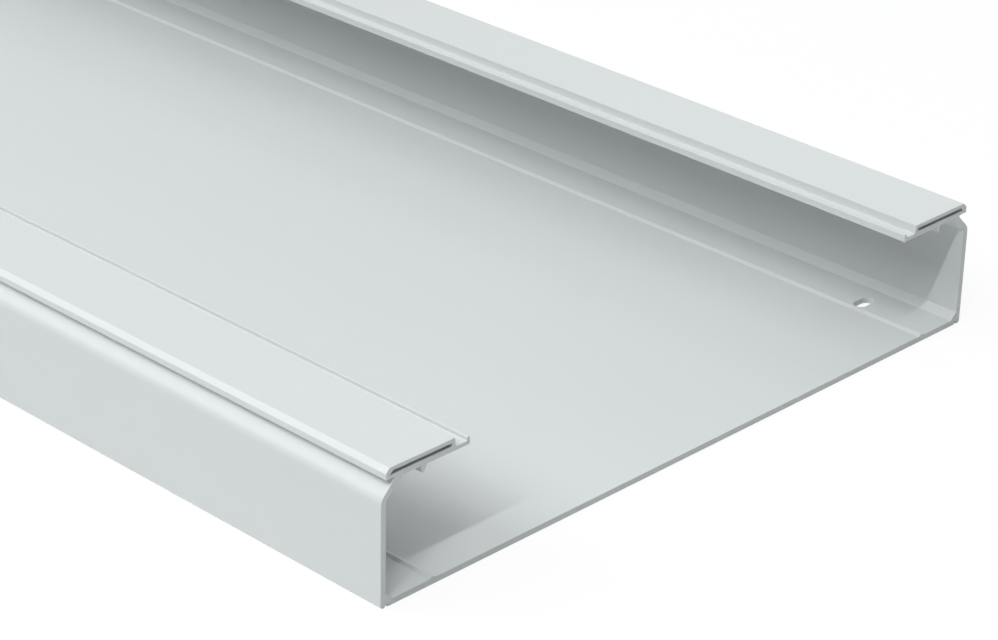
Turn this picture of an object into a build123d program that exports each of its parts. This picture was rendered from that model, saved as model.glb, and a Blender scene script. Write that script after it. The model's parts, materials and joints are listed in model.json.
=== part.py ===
from build123d import *
from math import ceil, radians, sin, tan
import os

# One stock length of plastic cable tray, in millimetres.
# X runs across the tray, Y along it and Z up. The origin is under the middle of the floor.
tray_width = 300.0
tray_height = 50.0
tray_length = 2000.0

# Floor and side walls
floor_thickness = 2.2
wall_thickness = 2.2
corner_chamfer_run = 3.1
corner_chamfer_rise = 2.6
corner_chamfer_rounding = 0.4

# Rounded foot of each wall, and the groove under the floor beside it
foot_radius = 1.2
foot_land = 0.7
foot_groove_width = 1.0
foot_groove_depth = 0.9

# Shoulder that leans in from each wall to its flange
shoulder_angle = 45.0
shoulder_run = 6.6
shoulder_thickness = 2.2
shoulder_knee_radius = 4.5
shoulder_root_radius = 0.4

# Hollow flange along the top of each wall
flange_setback = 2.0
flange_reach = 38.8
flange_overhang_thickness = 4.0
flange_chamfer = 1.7
flange_top_plate = 1.45
flange_bottom_plate = 1.75
flange_inner_web = 1.8
flange_outer_web = 1.7
chamber_height = 1.4

# Lip along the free edge of each flange, and the groove that a cover clips into
lip_thickness = 1.2
lip_height = 2.8
ledge_thickness = 1.4
cover_groove_width = 4.9
cover_groove_lean = 0.6

# Rib under each flange, leaning away from the wall
rib_gap = 8.15
rib_height = 2.6
rib_root_width = 2.7
rib_tip_width = 0.5
rib_lean = 0.55

# Screw slots through the floor, a row along each wall
slot_width = 5.0
slot_travel = 4.0
slot_inset = 16.8
slot_end_distance = 32.5
slot_pitch_limit = 500.0

# Low ridge along the floor, between the slots and the middle of the tray
ridge_slot_gap = 0.4
ridge_height = 0.7
ridge_wall_run = 1.2
ridge_middle_run = 1.9

# Rounding that the die leaves on the section's corners
edge_break = 0.2
tip_rounding_share = 0.2

# Distances from the tray's middle plane
wall_outer = tray_width / 2
wall_inner = wall_outer - wall_thickness
groove_outer = wall_outer - foot_radius - foot_land
groove_inner = groove_outer - foot_groove_width
flange_outer = wall_outer - flange_setback
lip_face = wall_outer - flange_reach
lip_back = lip_face + lip_thickness
cover_stop_foot = lip_back + cover_groove_width
cover_stop_top = cover_stop_foot + cover_groove_lean
chamber_inner = cover_stop_foot + flange_inner_web
chamber_outer = flange_outer - flange_outer_web
slot_centre = wall_outer - slot_inset
ridge_wall_foot = slot_centre - (slot_travel + slot_width) / 2 - ridge_slot_gap
ridge_peak = ridge_wall_foot - ridge_wall_run
ridge_middle_foot = ridge_peak - ridge_middle_run

# Heights above the underside of the floor
flange_underside = tray_height - flange_top_plate - chamber_height - flange_bottom_plate
chamber_bottom = flange_underside + flange_bottom_plate
chamber_top = chamber_bottom + chamber_height
overhang_underside = tray_height - flange_overhang_thickness
ledge_top = flange_underside + ledge_thickness
lip_top = flange_underside + lip_height
rib_bottom = flange_underside - rib_height
ridge_top = floor_thickness + ridge_height

# The shoulder's two faces are parallel lines at its angle
lean = radians(shoulder_angle)
shoulder_root = wall_outer - shoulder_run
shoulder_knee = overhang_underside - shoulder_run * tan(lean)
shoulder_inner_root = (
    shoulder_root
    - shoulder_thickness / sin(lean)
    + (overhang_underside - flange_underside) / tan(lean)
)
shoulder_inner_knee = flange_underside - (wall_inner - shoulder_inner_root) * tan(lean)

# The rib hangs between the shoulder and the lip
rib_wall_root = shoulder_inner_root - rib_gap
rib_middle_root = rib_wall_root - rib_root_width
rib_wall_tip = rib_wall_root - rib_lean
rib_middle_tip = rib_wall_tip - rib_tip_width

# Thin tips are rounded by a share of their own width
lip_rounding = tip_rounding_share * lip_thickness
rib_rounding = tip_rounding_share * rib_tip_width

# Corners of the section's right half as (distance from the middle, height, rounding),
# from under the floor round the outside to the top, then back down the inside.
foot_corners = [
    (groove_inner, 0, edge_break),
    (groove_inner, foot_groove_depth, edge_break),
    (groove_outer, foot_groove_depth, edge_break),
    (groove_outer, 0, edge_break),
    (wall_outer, 0, foot_radius),
]
outer_flange_corners = [
    (wall_outer, shoulder_knee, shoulder_knee_radius),
    (shoulder_root, overhang_underside, shoulder_root_radius),
    (flange_outer, overhang_underside, edge_break),
    (flange_outer, tray_height - flange_chamfer, edge_break),
    (flange_outer - flange_chamfer, tray_height, edge_break),
]
cover_lip_corners = [
    (cover_stop_top, tray_height, edge_break),
    (cover_stop_foot, ledge_top, edge_break),
    (lip_back, ledge_top, edge_break),
    (lip_back, lip_top, lip_rounding),
    (lip_face, lip_top, lip_rounding),
    (lip_face, flange_underside, edge_break),
]
inner_flange_corners = [
    (rib_middle_root, flange_underside, edge_break),
    (rib_middle_tip, rib_bottom, rib_rounding),
    (rib_wall_tip, rib_bottom, rib_rounding),
    (rib_wall_root, flange_underside, edge_break),
    (shoulder_inner_root, flange_underside, edge_break),
    (wall_inner, shoulder_inner_knee, edge_break),
]
floor_corners = [
    (wall_inner, floor_thickness + corner_chamfer_rise, corner_chamfer_rounding),
    (wall_inner - corner_chamfer_run, floor_thickness, corner_chamfer_rounding),
    (ridge_wall_foot, floor_thickness, edge_break),
    (ridge_peak, ridge_top, edge_break),
    (ridge_middle_foot, floor_thickness, edge_break),
]
right_half = foot_corners + outer_flange_corners + cover_lip_corners + inner_flange_corners + floor_corners
left_half = [(-across, up, rounding) for across, up, rounding in reversed(right_half)]
section_corners = right_half + left_half

# The hollow in the right flange, whose outer end follows the flange's chamfer
chamber_corners = [
    (chamber_inner, chamber_bottom),
    (chamber_outer, chamber_bottom),
    (chamber_outer - chamber_height, chamber_top),
    (chamber_inner, chamber_top),
]

# The slots are spread evenly between the two ends
slot_row_length = tray_length - 2 * slot_end_distance
slot_spaces = ceil(slot_row_length / slot_pitch_limit)
slot_pitch = slot_row_length / slot_spaces

with BuildPart() as tray:
    with BuildSketch(Plane.XZ.offset(-tray_length / 2)):
        with BuildLine():
            FilletPolyline(
                [(across, up) for across, up, rounding in section_corners],
                radius=[rounding for across, up, rounding in section_corners],
                close=True,
            )
        make_face()
        with BuildSketch(mode=Mode.PRIVATE) as chamber:
            with BuildLine():
                FilletPolyline(chamber_corners, radius=edge_break, close=True)
            make_face()
        add(chamber.sketch, mode=Mode.SUBTRACT)
        add(mirror(chamber.sketch, about=Plane.YZ, mode=Mode.PRIVATE), mode=Mode.SUBTRACT)
    extrude(amount=tray_length)

    with BuildSketch(Plane.XY):
        with GridLocations(2 * slot_centre, slot_pitch, 2, slot_spaces + 1):
            SlotCenterToCenter(slot_travel, slot_width)
    extrude(amount=floor_thickness, mode=Mode.SUBTRACT)

tray.part.label = "tray_profile"
os.makedirs("parts", exist_ok=True)
export_step(tray.part, "parts/tray_profile.step")
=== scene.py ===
# %% [markdown]
# # A stock length of plastic cable tray
#
# The object is a straight length of grey cable tray, the kind that is screwed to a wall or a ceiling
# and filled with cables. A factory pushes soft plastic through a steel die, so every slice across the
# tray has the same shape. Then it punches screw slots through the floor and saws the tray to length.
#
# The imported CAD model comes in first, because it says where everything is: X runs across the tray,
# Y along it and Z up. Its box gives the tray's size and where its ends are.

# %% Load the imported model
import json
import math

import bmesh
import bpy
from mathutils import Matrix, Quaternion, Vector


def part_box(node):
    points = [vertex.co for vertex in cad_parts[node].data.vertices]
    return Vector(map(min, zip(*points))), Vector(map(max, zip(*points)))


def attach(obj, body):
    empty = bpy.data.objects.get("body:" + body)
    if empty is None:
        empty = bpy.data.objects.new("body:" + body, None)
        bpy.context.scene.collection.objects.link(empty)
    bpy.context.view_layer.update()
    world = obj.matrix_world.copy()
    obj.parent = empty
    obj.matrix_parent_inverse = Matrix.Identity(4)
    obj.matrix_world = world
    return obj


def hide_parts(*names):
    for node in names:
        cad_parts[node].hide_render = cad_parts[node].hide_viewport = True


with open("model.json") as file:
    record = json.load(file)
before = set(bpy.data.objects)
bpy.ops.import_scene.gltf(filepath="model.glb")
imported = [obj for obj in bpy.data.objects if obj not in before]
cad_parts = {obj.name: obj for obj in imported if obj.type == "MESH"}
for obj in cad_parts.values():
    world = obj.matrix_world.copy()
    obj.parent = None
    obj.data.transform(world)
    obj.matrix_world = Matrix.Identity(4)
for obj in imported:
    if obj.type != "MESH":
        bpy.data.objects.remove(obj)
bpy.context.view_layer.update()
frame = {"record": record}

# %% [markdown]
# ## The section
#
# What makes a tray a tray is its cross-section, so that is where the modelling starts. The mesh that
# came with the frame is right in size, but it has only a few points on each small rounding, and those
# roundings are where the light catches. A Bevel modifier could add more, but it would round every edge
# alike. Here the section is written down as corners, each with the rounding that the die gives it, so
# that an edge of 0.2 mm and a bend of 4.5 mm can sit side by side.
#
# A corner is (distance from the middle, height, rounding) in millimetres, as on a maker's drawing.
# Only the right half is written, from under the floor, up the outside and back down the inside.

# %% Overall size, and the foot of the wall with its groove
millimetre = 0.001
low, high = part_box("tray_profile")
tray_width, tray_length, tray_height = (high - low) / millimetre
wall_outer = tray_width / 2
edge_break = 0.2

foot_radius = 1.2
foot_land = 0.7
foot_groove_width = 1.0
foot_groove_depth = 0.9
groove_outer = wall_outer - foot_radius - foot_land
groove_inner = groove_outer - foot_groove_width
foot_corners = [
    (groove_inner, 0, edge_break),
    (groove_inner, foot_groove_depth, edge_break),
    (groove_outer, foot_groove_depth, edge_break),
    (groove_outer, 0, edge_break),
    (wall_outer, 0, foot_radius),
]
print(f"tray {tray_width:.1f} wide, {tray_height:.1f} high and {tray_length:.1f} mm long")

# %% Shoulder, and the outside of the flange
shoulder_lean = math.radians(45)
shoulder_run = 6.6
shoulder_knee_radius = 4.5
shoulder_root_radius = 0.4
flange_setback = 2.0
flange_overhang_thickness = 4.0
flange_chamfer = 1.7
flange_outer = wall_outer - flange_setback
overhang_underside = tray_height - flange_overhang_thickness
shoulder_root = wall_outer - shoulder_run
shoulder_knee = overhang_underside - shoulder_run * math.tan(shoulder_lean)
outer_flange_corners = [
    (wall_outer, shoulder_knee, shoulder_knee_radius),
    (shoulder_root, overhang_underside, shoulder_root_radius),
    (flange_outer, overhang_underside, edge_break),
    (flange_outer, tray_height - flange_chamfer, edge_break),
    (flange_outer - flange_chamfer, tray_height, edge_break),
]
print(f"the wall leans in from a height of {shoulder_knee:.1f} mm")

# %% Cover groove and lip, on the free edge of the flange
flange_reach = 38.8
flange_top_plate = 1.45
flange_bottom_plate = 1.75
chamber_height = 1.4
lip_thickness = 1.2
lip_height = 2.8
lip_rounding = 0.24
ledge_thickness = 1.4
cover_groove_width = 4.9
cover_groove_lean = 0.6
flange_underside = tray_height - flange_top_plate - chamber_height - flange_bottom_plate
lip_face = wall_outer - flange_reach
lip_back = lip_face + lip_thickness
lip_top = flange_underside + lip_height
ledge_top = flange_underside + ledge_thickness
cover_stop = lip_back + cover_groove_width
cover_lip_corners = [
    (cover_stop + cover_groove_lean, tray_height, edge_break),
    (cover_stop, ledge_top, edge_break),
    (lip_back, ledge_top, edge_break),
    (lip_back, lip_top, lip_rounding),
    (lip_face, lip_top, lip_rounding),
    (lip_face, flange_underside, edge_break),
]
print(f"the mouth between the lips is {2 * lip_face:.1f} mm wide")

# %% Rib under the flange, and the inside of the wall
wall_thickness = 2.2
shoulder_thickness = 2.2
rib_gap = 8.15
rib_height = 2.6
rib_root_width = 2.7
rib_tip_width = 0.5
rib_tip_rounding = 0.1
rib_lean = 0.55
wall_inner = wall_outer - wall_thickness
shoulder_inner_root = (
    shoulder_root
    - shoulder_thickness / math.sin(shoulder_lean)
    + (overhang_underside - flange_underside) / math.tan(shoulder_lean)
)
shoulder_inner_knee = flange_underside - (wall_inner - shoulder_inner_root) * math.tan(shoulder_lean)
rib_root = shoulder_inner_root - rib_gap
rib_tip = rib_root - rib_lean
inner_flange_corners = [
    (rib_root - rib_root_width, flange_underside, edge_break),
    (rib_tip - rib_tip_width, flange_underside - rib_height, rib_tip_rounding),
    (rib_tip, flange_underside - rib_height, rib_tip_rounding),
    (rib_root, flange_underside, edge_break),
    (shoulder_inner_root, flange_underside, edge_break),
    (wall_inner, shoulder_inner_knee, edge_break),
]
print(f"the rib hangs {rib_gap:.1f} mm from the shoulder")

# %% Floor, with its chamfered corner and the low ridge beside the screw slots
floor_thickness = 2.2
corner_chamfer_run = 3.1
corner_chamfer_rise = 2.6
corner_chamfer_rounding = 0.4
ridge_height = 0.7
ridge_wall_run = 1.2
ridge_middle_run = 1.9
ridge_slot_gap = 0.4
slot_dims = next(
    mount["dims"] for mount in frame["record"]["mounts"] if mount["name"] == "end_screw_slots"
)
slot_centre = slot_dims["spacing_x_mm"] / 2
slot_length = slot_dims["slot_length_mm"]
ridge_foot = slot_centre - slot_length / 2 - ridge_slot_gap
ridge_peak = ridge_foot - ridge_wall_run
floor_corners = [
    (wall_inner, floor_thickness + corner_chamfer_rise, corner_chamfer_rounding),
    (wall_inner - corner_chamfer_run, floor_thickness, corner_chamfer_rounding),
    (ridge_foot, floor_thickness, edge_break),
    (ridge_peak, floor_thickness + ridge_height, edge_break),
    (ridge_peak - ridge_middle_run, floor_thickness, edge_break),
]
print(f"the ridge's peak is {wall_outer - ridge_peak:.1f} mm in from the outside of the wall")

# %% Hollow chamber inside the flange
flange_inner_web = 1.8
flange_outer_web = 1.7
chamber_inner = cover_stop + flange_inner_web
chamber_outer = flange_outer - flange_outer_web
chamber_bottom = flange_underside + flange_bottom_plate
chamber_top = chamber_bottom + chamber_height
right_chamber = [
    (chamber_inner, chamber_bottom, edge_break),
    (chamber_outer, chamber_bottom, edge_break),
    (chamber_outer - chamber_height, chamber_top, edge_break),
    (chamber_inner, chamber_top, edge_break),
]
print(f"the chamber is {chamber_outer - chamber_inner:.1f} mm wide and {chamber_height:.1f} mm high")

# %% [markdown]
# ## From corners to a smooth outline
#
# Each corner is cut back by its rounding, and an arc goes in between. The arc's centre lies on the line
# that halves the corner, and the two places where it touches the sides are equally far from the corner.
# One helper does this for all of them. The left half is the right half mirrored, in reverse order, so
# that the outline still runs round in one direction.

# %% Round the corners
arc_step = math.radians(9)
fewest_arc_steps = 3


def rounded(corners):
    """Points (across, up) round a closed outline whose corners are given with their roundings."""
    points = []
    for index, (across, up, rounding) in enumerate(corners):
        corner = Vector((across, up))
        before = (Vector(corners[index - 1][:2]) - corner).normalized()
        after = (Vector(corners[(index + 1) % len(corners)][:2]) - corner).normalized()
        half_angle = before.angle(after) / 2
        centre = corner + (before + after).normalized() * (rounding / math.sin(half_angle))
        reach = rounding / math.tan(half_angle)
        first = corner + before * reach - centre
        last = corner + after * reach - centre
        turn = math.atan2(first.cross(last), first.dot(last))
        steps = max(fewest_arc_steps, math.ceil(abs(turn) / arc_step))
        for step in range(steps + 1):
            angle = turn * step / steps
            spoke = Vector((
                first.x * math.cos(angle) - first.y * math.sin(angle),
                first.x * math.sin(angle) + first.y * math.cos(angle),
            ))
            points.append(centre + spoke)
    return points


def mirrored(corners):
    """The same corners on the other side of the tray's middle."""
    return [(-across, up, rounding) for across, up, rounding in reversed(corners)]


right_half = foot_corners + outer_flange_corners + cover_lip_corners + inner_flange_corners + floor_corners
section_outline = rounded(right_half + mirrored(right_half))
chamber_outlines = [rounded(right_chamber), rounded(mirrored(right_chamber))]
print(len(section_outline), "points round the section and", len(chamber_outlines[0]), "round each chamber")

# %% [markdown]
# ## Drawing the section out
#
# In BMesh the outline becomes a ring of edges at each end of the tray. Quads join the two rings into the
# skin, and Triangle Fill closes each end between the outline and the two chambers, which stay open as
# holes right through. A curve with an extrude depth could do the same, but it can't tell the skin from
# the cut ends, and here the ends get a finish of their own: the die polishes the skin, the saw doesn't.

# %% Make the extrusion
extruded_skin = bpy.data.materials.new("extruded_skin")
sawn_plastic = bpy.data.materials.new("sawn_plastic")
tray_materials = [extruded_skin, sawn_plastic]
sawn_index = tray_materials.index(sawn_plastic)


def ring_of_edges(mesh, outline, along):
    """One closed ring of vertices and edges across the tray, at a place along it."""
    verts = [
        mesh.verts.new((point.x * millimetre, along, point.y * millimetre))
        for point in outline
    ]
    edges = [
        mesh.edges.new((vert, verts[(index + 1) % len(verts)]))
        for index, vert in enumerate(verts)
    ]
    return verts, edges


def extrusion(outlines, start, end):
    """A closed mesh of the outlines drawn out from start to end along Y, with filled ends."""
    mesh = bmesh.new()
    end_edges = {start: [], end: []}
    for outline in outlines:
        near_verts, near_edges = ring_of_edges(mesh, outline, start)
        far_verts, far_edges = ring_of_edges(mesh, outline, end)
        end_edges[start] += near_edges
        end_edges[end] += far_edges
        for index in range(len(outline)):
            after = (index + 1) % len(outline)
            mesh.faces.new((near_verts[index], near_verts[after], far_verts[after], far_verts[index]))
    for edges in end_edges.values():
        filled = bmesh.ops.triangle_fill(mesh, use_beauty=True, edges=edges)
        for item in filled["geom"]:
            if isinstance(item, bmesh.types.BMFace):
                item.material_index = sawn_index
    bmesh.ops.recalc_face_normals(mesh, faces=mesh.faces)
    return mesh


def as_object(mesh, name, materials):
    """Puts a BMesh into the scene as an object with these materials."""
    data = bpy.data.meshes.new(name)
    mesh.to_mesh(data)
    mesh.free()
    for material in materials:
        data.materials.append(material)
    piece = bpy.data.objects.new(name, data)
    bpy.context.scene.collection.objects.link(piece)
    return piece


tray = as_object(
    extrusion([section_outline, *chamber_outlines], low.y, high.y),
    "tray_extrusion",
    tray_materials,
)
print(f"{tray.name} has {len(tray.data.polygons)} faces")

# %% [markdown]
# ## Screw slots
#
# Long slots run across the tray near each wall, so that a screw can be shifted sideways before it is
# tightened. A press punches them from above, and the punch drags the plastic down a little, which
# leaves a soft rim on top and a crisp one below. Holes could be modelled into the floor's faces one by
# one. A Boolean is simpler: a tool with the slot's outline, flared at the top by the rim, is placed at
# each slot and cut away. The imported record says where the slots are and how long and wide.

# %% Find the slots in the record
def slot_places():
    """Centres of the slots, (across, along) in millimetres, from the record's bolt patterns."""
    places = []
    for mount in frame["record"]["mounts"]:
        if mount["kind"] != "bolt_pattern":
            continue
        half_across = mount["dims"]["spacing_x_mm"] / 2
        half_along = mount["dims"].get("spacing_y_mm", 0) / 2
        rows = [-half_along, half_along] if half_along else [0]
        places += [(side * half_across, row) for row in rows for side in (-1, 1)]
    return places


slot_radius = slot_dims["hole_r_mm"]
slot_half_travel = slot_length / 2 - slot_radius
print(len(slot_places()), "slots,", slot_length, "by", 2 * slot_radius, "mm")

# %% Shape the punch and cut
rim_radius = 0.3
rim_steps = 4
punch_overrun = 1.0
slot_end_steps = 20


def slot_outline(growth):
    """Points (across, along) round a slot that is wider by growth on all sides."""
    points = []
    for side, facing in ((1, -math.pi / 2), (-1, math.pi / 2)):
        for step in range(slot_end_steps + 1):
            angle = facing + math.pi * step / slot_end_steps
            points.append((
                side * slot_half_travel + (slot_radius + growth) * math.cos(angle),
                (slot_radius + growth) * math.sin(angle),
            ))
    return points


def punch_levels():
    """Heights up the punch with its growth there: straight, then flared by the rim's rounding."""
    levels = [(-punch_overrun, 0)]
    for step in range(rim_steps + 1):
        angle = math.pi / 2 * step / rim_steps
        height = floor_thickness - rim_radius * (1 - math.sin(angle))
        levels.append((height, rim_radius * (1 - math.cos(angle))))
    levels.append((floor_thickness + punch_overrun, rim_radius))
    return levels


def punch(mesh, across, along):
    """Adds one closed punch to the mesh, standing at a slot's centre."""
    rings = []
    for height, growth in punch_levels():
        rings.append([
            mesh.verts.new(Vector((across + x, along + y, height)) * millimetre)
            for x, y in slot_outline(growth)
        ])
    for below, above in zip(rings, rings[1:]):
        for index in range(len(below)):
            after = (index + 1) % len(below)
            mesh.faces.new((below[index], below[after], above[after], above[index]))
    mesh.faces.new(list(reversed(rings[0])))
    mesh.faces.new(rings[-1])


punches = bmesh.new()
for slot_across, slot_along in slot_places():
    punch(punches, slot_across, slot_along)
punch_tool = as_object(punches, "punch_tool", [sawn_plastic])

cut = tray.modifiers.new("screw slots", "BOOLEAN")
cut.operation = "DIFFERENCE"
cut.solver = "EXACT"
cut.material_mode = "TRANSFER"
cut.object = punch_tool
punched = bpy.data.meshes.new_from_object(tray.evaluated_get(bpy.context.evaluated_depsgraph_get()))
tray.modifiers.remove(cut)
tray.data = punched
bpy.data.objects.remove(punch_tool)
print(f"after punching, {tray.name} has {len(punched.polygons)} faces")

# %% [markdown]
# ## Flat faces and soft edges
#
# Smooth shading lets the small arcs read as roundings, but on its own it also bends the light across
# the wide flat faces. Two things keep those flat: edges that turn by more than a few arc steps are
# marked sharp, and a Weighted Normal modifier lets the largest face at each edge decide its direction.

# %% Shade the tray and join it to the frame
sharp_turn = math.radians(28)
flat_face_weight = 100
punched.shade_smooth()
punched.set_sharp_from_angle(angle=sharp_turn)
flat_faces = tray.modifiers.new("flat faces", "WEIGHTED_NORMAL")
flat_faces.keep_sharp = True
flat_faces.weight = flat_face_weight

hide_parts("tray_profile")
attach(tray, "root")
print("sharp edges:", sum(edge.use_edge_sharp for edge in punched.edges))

# %% [markdown]
# ## Plastic
#
# The tray is rigid grey plastic, coloured right through, with a satin skin. A flat grey would look
# like a drawing, so three faint things vary over it. The pigment isn't mixed perfectly and leaves soft
# clouds. Tiny scores in the die draw lines along the tray. And the surface has a grain, fine on the
# skin and coarser where the saw went through.
#
# Clouds and grain are on both finishes, so each is a node group that both materials use with their own
# numbers. All of them work from the object's own coordinates, so nothing slides when it turns.

# %% Helpers for node trees
def add_node(tree, kind, inputs=None, **properties):
    """Adds one node, with the values of its input sockets by name and its own properties."""
    node = tree.nodes.new(kind)
    for name, value in properties.items():
        setattr(node, name, value)
    for name, value in (inputs or {}).items():
        node.inputs[name].default_value = value
    return node


def start_group(name, inputs, outputs):
    """An empty node group with these sockets, each (name, type), and its input and output nodes."""
    group = bpy.data.node_groups.new(name, "ShaderNodeTree")
    for socket, kind in inputs:
        group.interface.new_socket(socket, in_out="INPUT", socket_type=kind)
    for socket, kind in outputs:
        group.interface.new_socket(socket, in_out="OUTPUT", socket_type=kind)
    return group, group.nodes.new("NodeGroupInput"), group.nodes.new("NodeGroupOutput")


def place_group(tree, group, inputs):
    """Puts a node group into a material, with its own values."""
    return add_node(tree, "ShaderNodeGroup", inputs, node_tree=group)


print("node helpers ready")

# %% Pigment clouds, a group
pigment_clouds, clouds_in, clouds_out = start_group(
    "pigment_clouds",
    [
        ("Position", "NodeSocketVector"),
        ("Patches per metre", "NodeSocketFloat"),
        ("Pale", "NodeSocketColor"),
        ("Deep", "NodeSocketColor"),
    ],
    [("Color", "NodeSocketColor")],
)
cloud_noise = add_node(pigment_clouds, "ShaderNodeTexNoise", {"Detail": 4.0, "Roughness": 0.55})
cloud_mix = add_node(pigment_clouds, "ShaderNodeMix", data_type="RGBA")
links = pigment_clouds.links
links.new(clouds_in.outputs["Position"], cloud_noise.inputs["Vector"])
links.new(clouds_in.outputs["Patches per metre"], cloud_noise.inputs["Scale"])
links.new(cloud_noise.outputs["Fac"], cloud_mix.inputs["Factor"])
links.new(clouds_in.outputs["Pale"], cloud_mix.inputs["A"])
links.new(clouds_in.outputs["Deep"], cloud_mix.inputs["B"])
links.new(cloud_mix.outputs["Result"], clouds_out.inputs["Color"])
print("group", pigment_clouds.name, "has", len(pigment_clouds.nodes), "nodes")

# %% Surface grain, a group
surface_grain, grain_in, grain_out = start_group(
    "surface_grain",
    [
        ("Position", "NodeSocketVector"),
        ("Grains per metre", "NodeSocketFloat"),
        ("Smoothest", "NodeSocketFloat"),
        ("Roughest", "NodeSocketFloat"),
    ],
    [("Height", "NodeSocketFloat"), ("Roughness", "NodeSocketFloat")],
)
grain_noise = add_node(surface_grain, "ShaderNodeTexNoise", {"Detail": 3.0, "Roughness": 0.6})
grain_range = add_node(surface_grain, "ShaderNodeMapRange")
links = surface_grain.links
links.new(grain_in.outputs["Position"], grain_noise.inputs["Vector"])
links.new(grain_in.outputs["Grains per metre"], grain_noise.inputs["Scale"])
links.new(grain_noise.outputs["Fac"], grain_range.inputs["Value"])
links.new(grain_in.outputs["Smoothest"], grain_range.inputs["To Min"])
links.new(grain_in.outputs["Roughest"], grain_range.inputs["To Max"])
links.new(grain_noise.outputs["Fac"], grain_out.inputs["Height"])
links.new(grain_range.outputs["Result"], grain_out.inputs["Roughness"])
print("group", surface_grain.name, "has", len(surface_grain.nodes), "nodes")

# %% [markdown]
# ### Skin from the die
#
# The lines that a die leaves are long in one direction and fine in the other. Stretching a noise
# texture does this: its coordinates run fast across the tray and very slowly along it. The lines are
# far finer than the section's shapes, so they are only a bump, and a faint change of tone with it.

# %% Extruded skin
plastic_pale = (0.626, 0.643, 0.642, 1)
plastic_deep = (0.611, 0.628, 0.627, 1)
plastic_ior = 1.53
lines_per_metre = 900.0
stretch_along = 0.004


def start_material(material):
    """Clears a material's nodes and returns its tree, shader and position node."""
    material.use_nodes = True
    tree = material.node_tree
    tree.nodes.clear()
    shader = add_node(tree, "ShaderNodeBsdfPrincipled", {"IOR": plastic_ior})
    output = add_node(tree, "ShaderNodeOutputMaterial")
    position = add_node(tree, "ShaderNodeTexCoord")
    tree.links.new(shader.outputs["BSDF"], output.inputs["Surface"])
    return tree, shader, position


tree, shader, position = start_material(extruded_skin)
links = tree.links
clouds = place_group(tree, pigment_clouds, {
    "Patches per metre": 14.0,
    "Pale": plastic_pale,
    "Deep": plastic_deep,
})
grain = place_group(tree, surface_grain, {
    "Grains per metre": 700.0,
    "Smoothest": 0.40,
    "Roughest": 0.52,
})
stretch = add_node(
    tree,
    "ShaderNodeVectorMath",
    {1: (lines_per_metre, lines_per_metre * stretch_along, lines_per_metre)},
    operation="MULTIPLY",
)
die_lines = add_node(tree, "ShaderNodeTexNoise", {"Scale": 1.0, "Detail": 3.0, "Roughness": 0.65})
line_tone = add_node(tree, "ShaderNodeMapRange", {"To Min": 0.990, "To Max": 1.010})
toned = add_node(tree, "ShaderNodeVectorMath", operation="SCALE")
line_bump = add_node(tree, "ShaderNodeBump", {"Strength": 0.06, "Distance": 0.0003})
grain_bump = add_node(tree, "ShaderNodeBump", {"Strength": 0.03, "Distance": 0.0005})
links.new(position.outputs["Object"], clouds.inputs["Position"])
links.new(position.outputs["Object"], grain.inputs["Position"])
links.new(position.outputs["Object"], stretch.inputs[0])
links.new(stretch.outputs["Vector"], die_lines.inputs["Vector"])
links.new(die_lines.outputs["Fac"], line_tone.inputs["Value"])
links.new(clouds.outputs["Color"], toned.inputs[0])
links.new(line_tone.outputs["Result"], toned.inputs["Scale"])
links.new(toned.outputs["Vector"], shader.inputs["Base Color"])
links.new(grain.outputs["Roughness"], shader.inputs["Roughness"])
links.new(die_lines.outputs["Fac"], line_bump.inputs["Height"])
links.new(grain.outputs["Height"], grain_bump.inputs["Height"])
links.new(line_bump.outputs["Normal"], grain_bump.inputs["Normal"])
links.new(grain_bump.outputs["Normal"], shader.inputs["Normal"])
print(extruded_skin.name, "has", len(tree.nodes), "nodes")

# %% [markdown]
# ### Sawn ends and punched slots
#
# Where the saw or the punch went through, the same plastic shows without its skin: duller, and scored
# by the blade's teeth. A big circular blade leaves long flat arcs. On an end only 50 mm high they are
# nearly straight lines, so a Wave texture that is bent a little by its own distortion stands for them.

# %% Sawn plastic
tooth_marks_per_metre = 260.0
tree, shader, position = start_material(sawn_plastic)
links = tree.links
clouds = place_group(tree, pigment_clouds, {
    "Patches per metre": 60.0,
    "Pale": plastic_pale,
    "Deep": plastic_deep,
})
grain = place_group(tree, surface_grain, {
    "Grains per metre": 1600.0,
    "Smoothest": 0.52,
    "Roughest": 0.70,
})
saw_marks = add_node(
    tree,
    "ShaderNodeTexWave",
    {"Scale": tooth_marks_per_metre, "Distortion": 1.6, "Detail": 2.0, "Detail Scale": 0.6},
    wave_type="BANDS",
    bands_direction="DIAGONAL",
)
saw_bump = add_node(tree, "ShaderNodeBump", {"Strength": 0.10, "Distance": 0.0002})
grain_bump = add_node(tree, "ShaderNodeBump", {"Strength": 0.08, "Distance": 0.0003})
links.new(position.outputs["Object"], clouds.inputs["Position"])
links.new(position.outputs["Object"], grain.inputs["Position"])
links.new(position.outputs["Object"], saw_marks.inputs["Vector"])
links.new(clouds.outputs["Color"], shader.inputs["Base Color"])
links.new(grain.outputs["Roughness"], shader.inputs["Roughness"])
links.new(saw_marks.outputs["Fac"], saw_bump.inputs["Height"])
links.new(grain.outputs["Height"], grain_bump.inputs["Height"])
links.new(saw_bump.outputs["Normal"], grain_bump.inputs["Normal"])
links.new(grain_bump.outputs["Normal"], shader.inputs["Normal"])
print(sawn_plastic.name, "has", len(tree.nodes), "nodes")

# %% [markdown]
# ## Floor
#
# The tray lies on a white studio floor. A white sheet that is lit only by the lamps comes out grey, and
# more lamp light would bleach the tray. So rays that come straight from the camera, or by way of a
# reflection, also see the floor glow, and other rays meet a plain white sheet. The glow is a little
# under white, and the lamps' light makes up the rest, so the tray's shadow still shows. Seen from
# below, the floor is clear, so that the tray's underside can be looked at.

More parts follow.
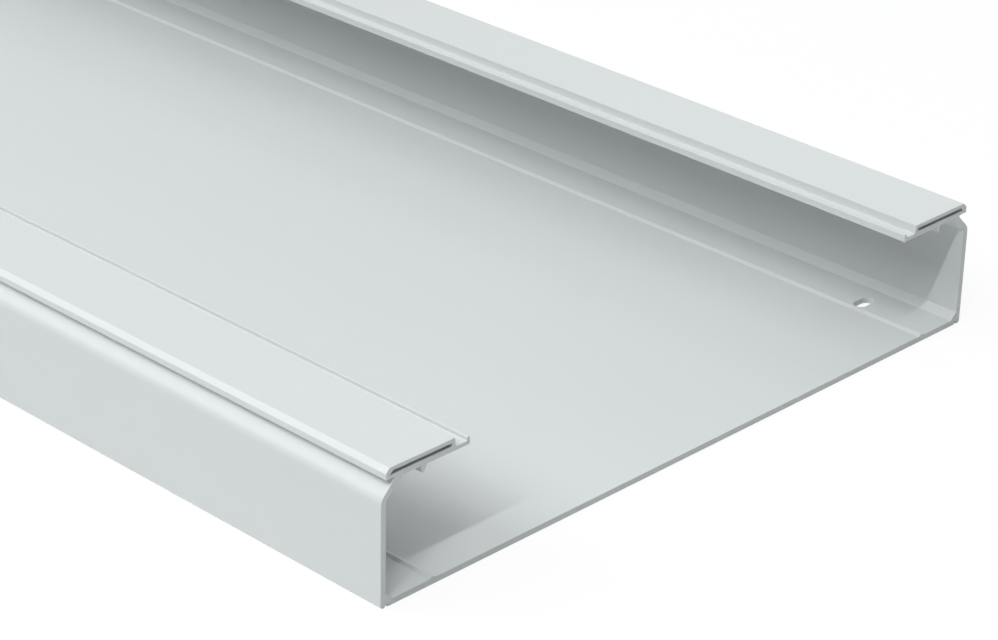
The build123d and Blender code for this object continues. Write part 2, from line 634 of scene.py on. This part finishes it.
# %% Studio floor
white = (1, 1, 1, 1)
floor_half_side = 60.0
floor_glow = 0.90
floor_sheen = (0.10, 0.10, 0.10, 1)
floor_bounce = (0.83, 0.83, 0.83, 1)

floor_mesh = bmesh.new()
bmesh.ops.create_grid(floor_mesh, x_segments=1, y_segments=1, size=floor_half_side)
studio_white = bpy.data.materials.new("studio_white")
studio_floor = as_object(floor_mesh, "studio_floor", [studio_white])


def straight_rays(tree):
    """A value that is 1 for rays from the camera, a reflection or a clear surface, and 0 for others."""
    path = add_node(tree, "ShaderNodeLightPath")
    seen = add_node(tree, "ShaderNodeMath", operation="MAXIMUM")
    seen_or_clear = add_node(tree, "ShaderNodeMath", operation="MAXIMUM")
    tree.links.new(path.outputs["Is Camera Ray"], seen.inputs[0])
    tree.links.new(path.outputs["Is Glossy Ray"], seen.inputs[1])
    tree.links.new(seen.outputs["Value"], seen_or_clear.inputs[0])
    tree.links.new(path.outputs["Is Transmission Ray"], seen_or_clear.inputs[1])
    return seen_or_clear.outputs["Value"]


studio_white.use_nodes = True
tree = studio_white.node_tree
tree.nodes.clear()
links = tree.links
glow = add_node(tree, "ShaderNodeEmission", {"Color": white, "Strength": floor_glow})
lit_part = add_node(tree, "ShaderNodeBsdfDiffuse", {"Color": floor_sheen})
seen_floor = add_node(tree, "ShaderNodeAddShader")
plain_sheet = add_node(tree, "ShaderNodeBsdfDiffuse", {"Color": floor_bounce})
by_ray = add_node(tree, "ShaderNodeMixShader")
underside = add_node(tree, "ShaderNodeNewGeometry")
clear = add_node(tree, "ShaderNodeBsdfTransparent")
by_side = add_node(tree, "ShaderNodeMixShader")
output = add_node(tree, "ShaderNodeOutputMaterial")
links.new(glow.outputs["Emission"], seen_floor.inputs[0])
links.new(lit_part.outputs["BSDF"], seen_floor.inputs[1])
links.new(straight_rays(tree), by_ray.inputs["Fac"])
links.new(plain_sheet.outputs["BSDF"], by_ray.inputs[1])
links.new(seen_floor.outputs["Shader"], by_ray.inputs[2])
links.new(underside.outputs["Backfacing"], by_side.inputs["Fac"])
links.new(by_ray.outputs["Shader"], by_side.inputs[1])
links.new(clear.outputs["BSDF"], by_side.inputs[2])
links.new(by_side.outputs["Shader"], output.inputs["Surface"])
print(f"{studio_floor.name} is {2 * floor_half_side:.0f} m square")

# %% [markdown]
# ## Light
#
# The light comes mostly from above and from the left. Narrow strips hang in front of the tray's near
# end. They are long across the tray and short along it, so the lip gets a wide, blurred shadow and the
# sawn end a crisp one. A wide panel behind on the left, a weaker one behind on the right and a weak
# ceiling fill in from above. Two low panels on the right skim over the tray: they lift the flange tops
# without reaching the floor inside. All lamps are slightly cool, like daylight. The room itself is
# nearly dark, and only the camera and reflections see it as white.
#
# A lamp's brightness is easier to think about than its power, because it doesn't change with size. The
# helper takes the brightness of each panel's face and works out the watts that Blender asks for.

# %% Room glow
room_brightness = 0.01
world = bpy.data.worlds.new("studio_room")
bpy.context.scene.world = world
world.use_nodes = True
tree = world.node_tree
tree.nodes.clear()
links = tree.links
room_glow = add_node(tree, "ShaderNodeBackground", {"Color": white, "Strength": room_brightness})
white_wall = add_node(tree, "ShaderNodeBackground", {"Color": white, "Strength": 1.0})
by_ray = add_node(tree, "ShaderNodeMixShader")
output = add_node(tree, "ShaderNodeOutputWorld")
links.new(straight_rays(tree), by_ray.inputs["Fac"])
links.new(room_glow.outputs["Background"], by_ray.inputs[1])
links.new(white_wall.outputs["Background"], by_ray.inputs[2])
links.new(by_ray.outputs["Shader"], output.inputs["Surface"])
print("room brightness", room_brightness)

# %% Panel lights
near_end = Vector((0, low.y, 0))
straight_down = Vector((0, 0, -1))
daylight = (0.965, 1.0, 1.0)
panels = [
    # name, place from the near end, way it faces, width, depth, brightness
    ("key_strip", Vector((-3.8, -1.364, 4.0)), straight_down, 0.8, 0.12, 158.0),
    ("inner_strip", Vector((-3.1, -1.364, 4.0)), straight_down, 0.6, 0.12, 63.0),
    ("near_strip", Vector((-0.75, -0.502, 1.5)), straight_down, 0.6, 0.045, 75.5),
    ("far_strip", Vector((-13.25, -3.434, 10.0)), straight_down, 5.5, 0.3, 34.8),
    ("back_left_panel", Vector((-3.9, 4.6, 4.0)), straight_down, 3.8, 6.8, 4.4),
    ("back_right_panel", Vector((1.6, 4.6, 4.0)), straight_down, 7.2, 6.8, 0.78),
    ("ceiling", Vector((-1.6, -0.8, 4.0)), straight_down, 7.2, 4.0, 1.04),
    ("right_fill", Vector((9.93, 0, 1.19)), Vector((-1, 0, -0.12)), 4.0, 1.5, 2.9),
    ("far_right_fill", Vector((8.38, 5.03, 2.10)), Vector((-1, -0.6, -0.25)), 4.0, 2.0, 2.4),
]


def hang_panel(name, place, facing, width, depth, brightness):
    """Hangs a rectangular lamp that the camera doesn't see, and returns the watts for its brightness."""
    lamp = bpy.data.lights.new(name, "AREA")
    lamp.shape = "RECTANGLE"
    lamp.size = width
    lamp.size_y = depth
    lamp.energy = math.pi * width * depth * brightness
    lamp.color = daylight
    panel = bpy.data.objects.new(name, lamp)
    panel.location = near_end + place
    panel.rotation_mode = "QUATERNION"
    panel.rotation_quaternion = facing.to_track_quat("-Z", "Y")
    panel.visible_camera = False
    bpy.context.scene.collection.objects.link(panel)
    return lamp.energy


for panel in panels:
    print(f"{panel[0]}: {hang_panel(*panel):.0f} W")

# %% [markdown]
# ## Camera
#
# The photograph looks along the tray from the front left and above, through a long lens, with the
# camera rolled by about a degree. The angles and the place were worked out from the section's corners.

# %% Camera
camera_place = Vector((-0.74967, -1.62865, 0.53448))
camera_azimuth = math.radians(-45.980)
camera_elevation = math.radians(26.409)
camera_roll = math.radians(1.351)
lens_length = 115.741
sensor_width = 36.0

back = Vector((
    math.sin(camera_azimuth) * math.cos(camera_elevation),
    -math.cos(camera_azimuth) * math.cos(camera_elevation),
    math.sin(camera_elevation),
))
camera_data = bpy.data.cameras.new("photo_camera")
camera_data.sensor_width = sensor_width
camera_data.lens = lens_length
camera = bpy.data.objects.new("photo_camera", camera_data)
camera.location = camera_place
camera.rotation_mode = "QUATERNION"
camera.rotation_quaternion = (-back).to_track_quat("-Z", "Y") @ Quaternion((0, 0, 1), camera_roll)
bpy.context.scene.collection.objects.link(camera)
bpy.context.scene.camera = camera
bpy.context.scene.view_settings.view_transform = "Standard"
print(f"camera {camera_place.length:.2f} m from the middle of the tray, {lens_length:.0f} mm lens")
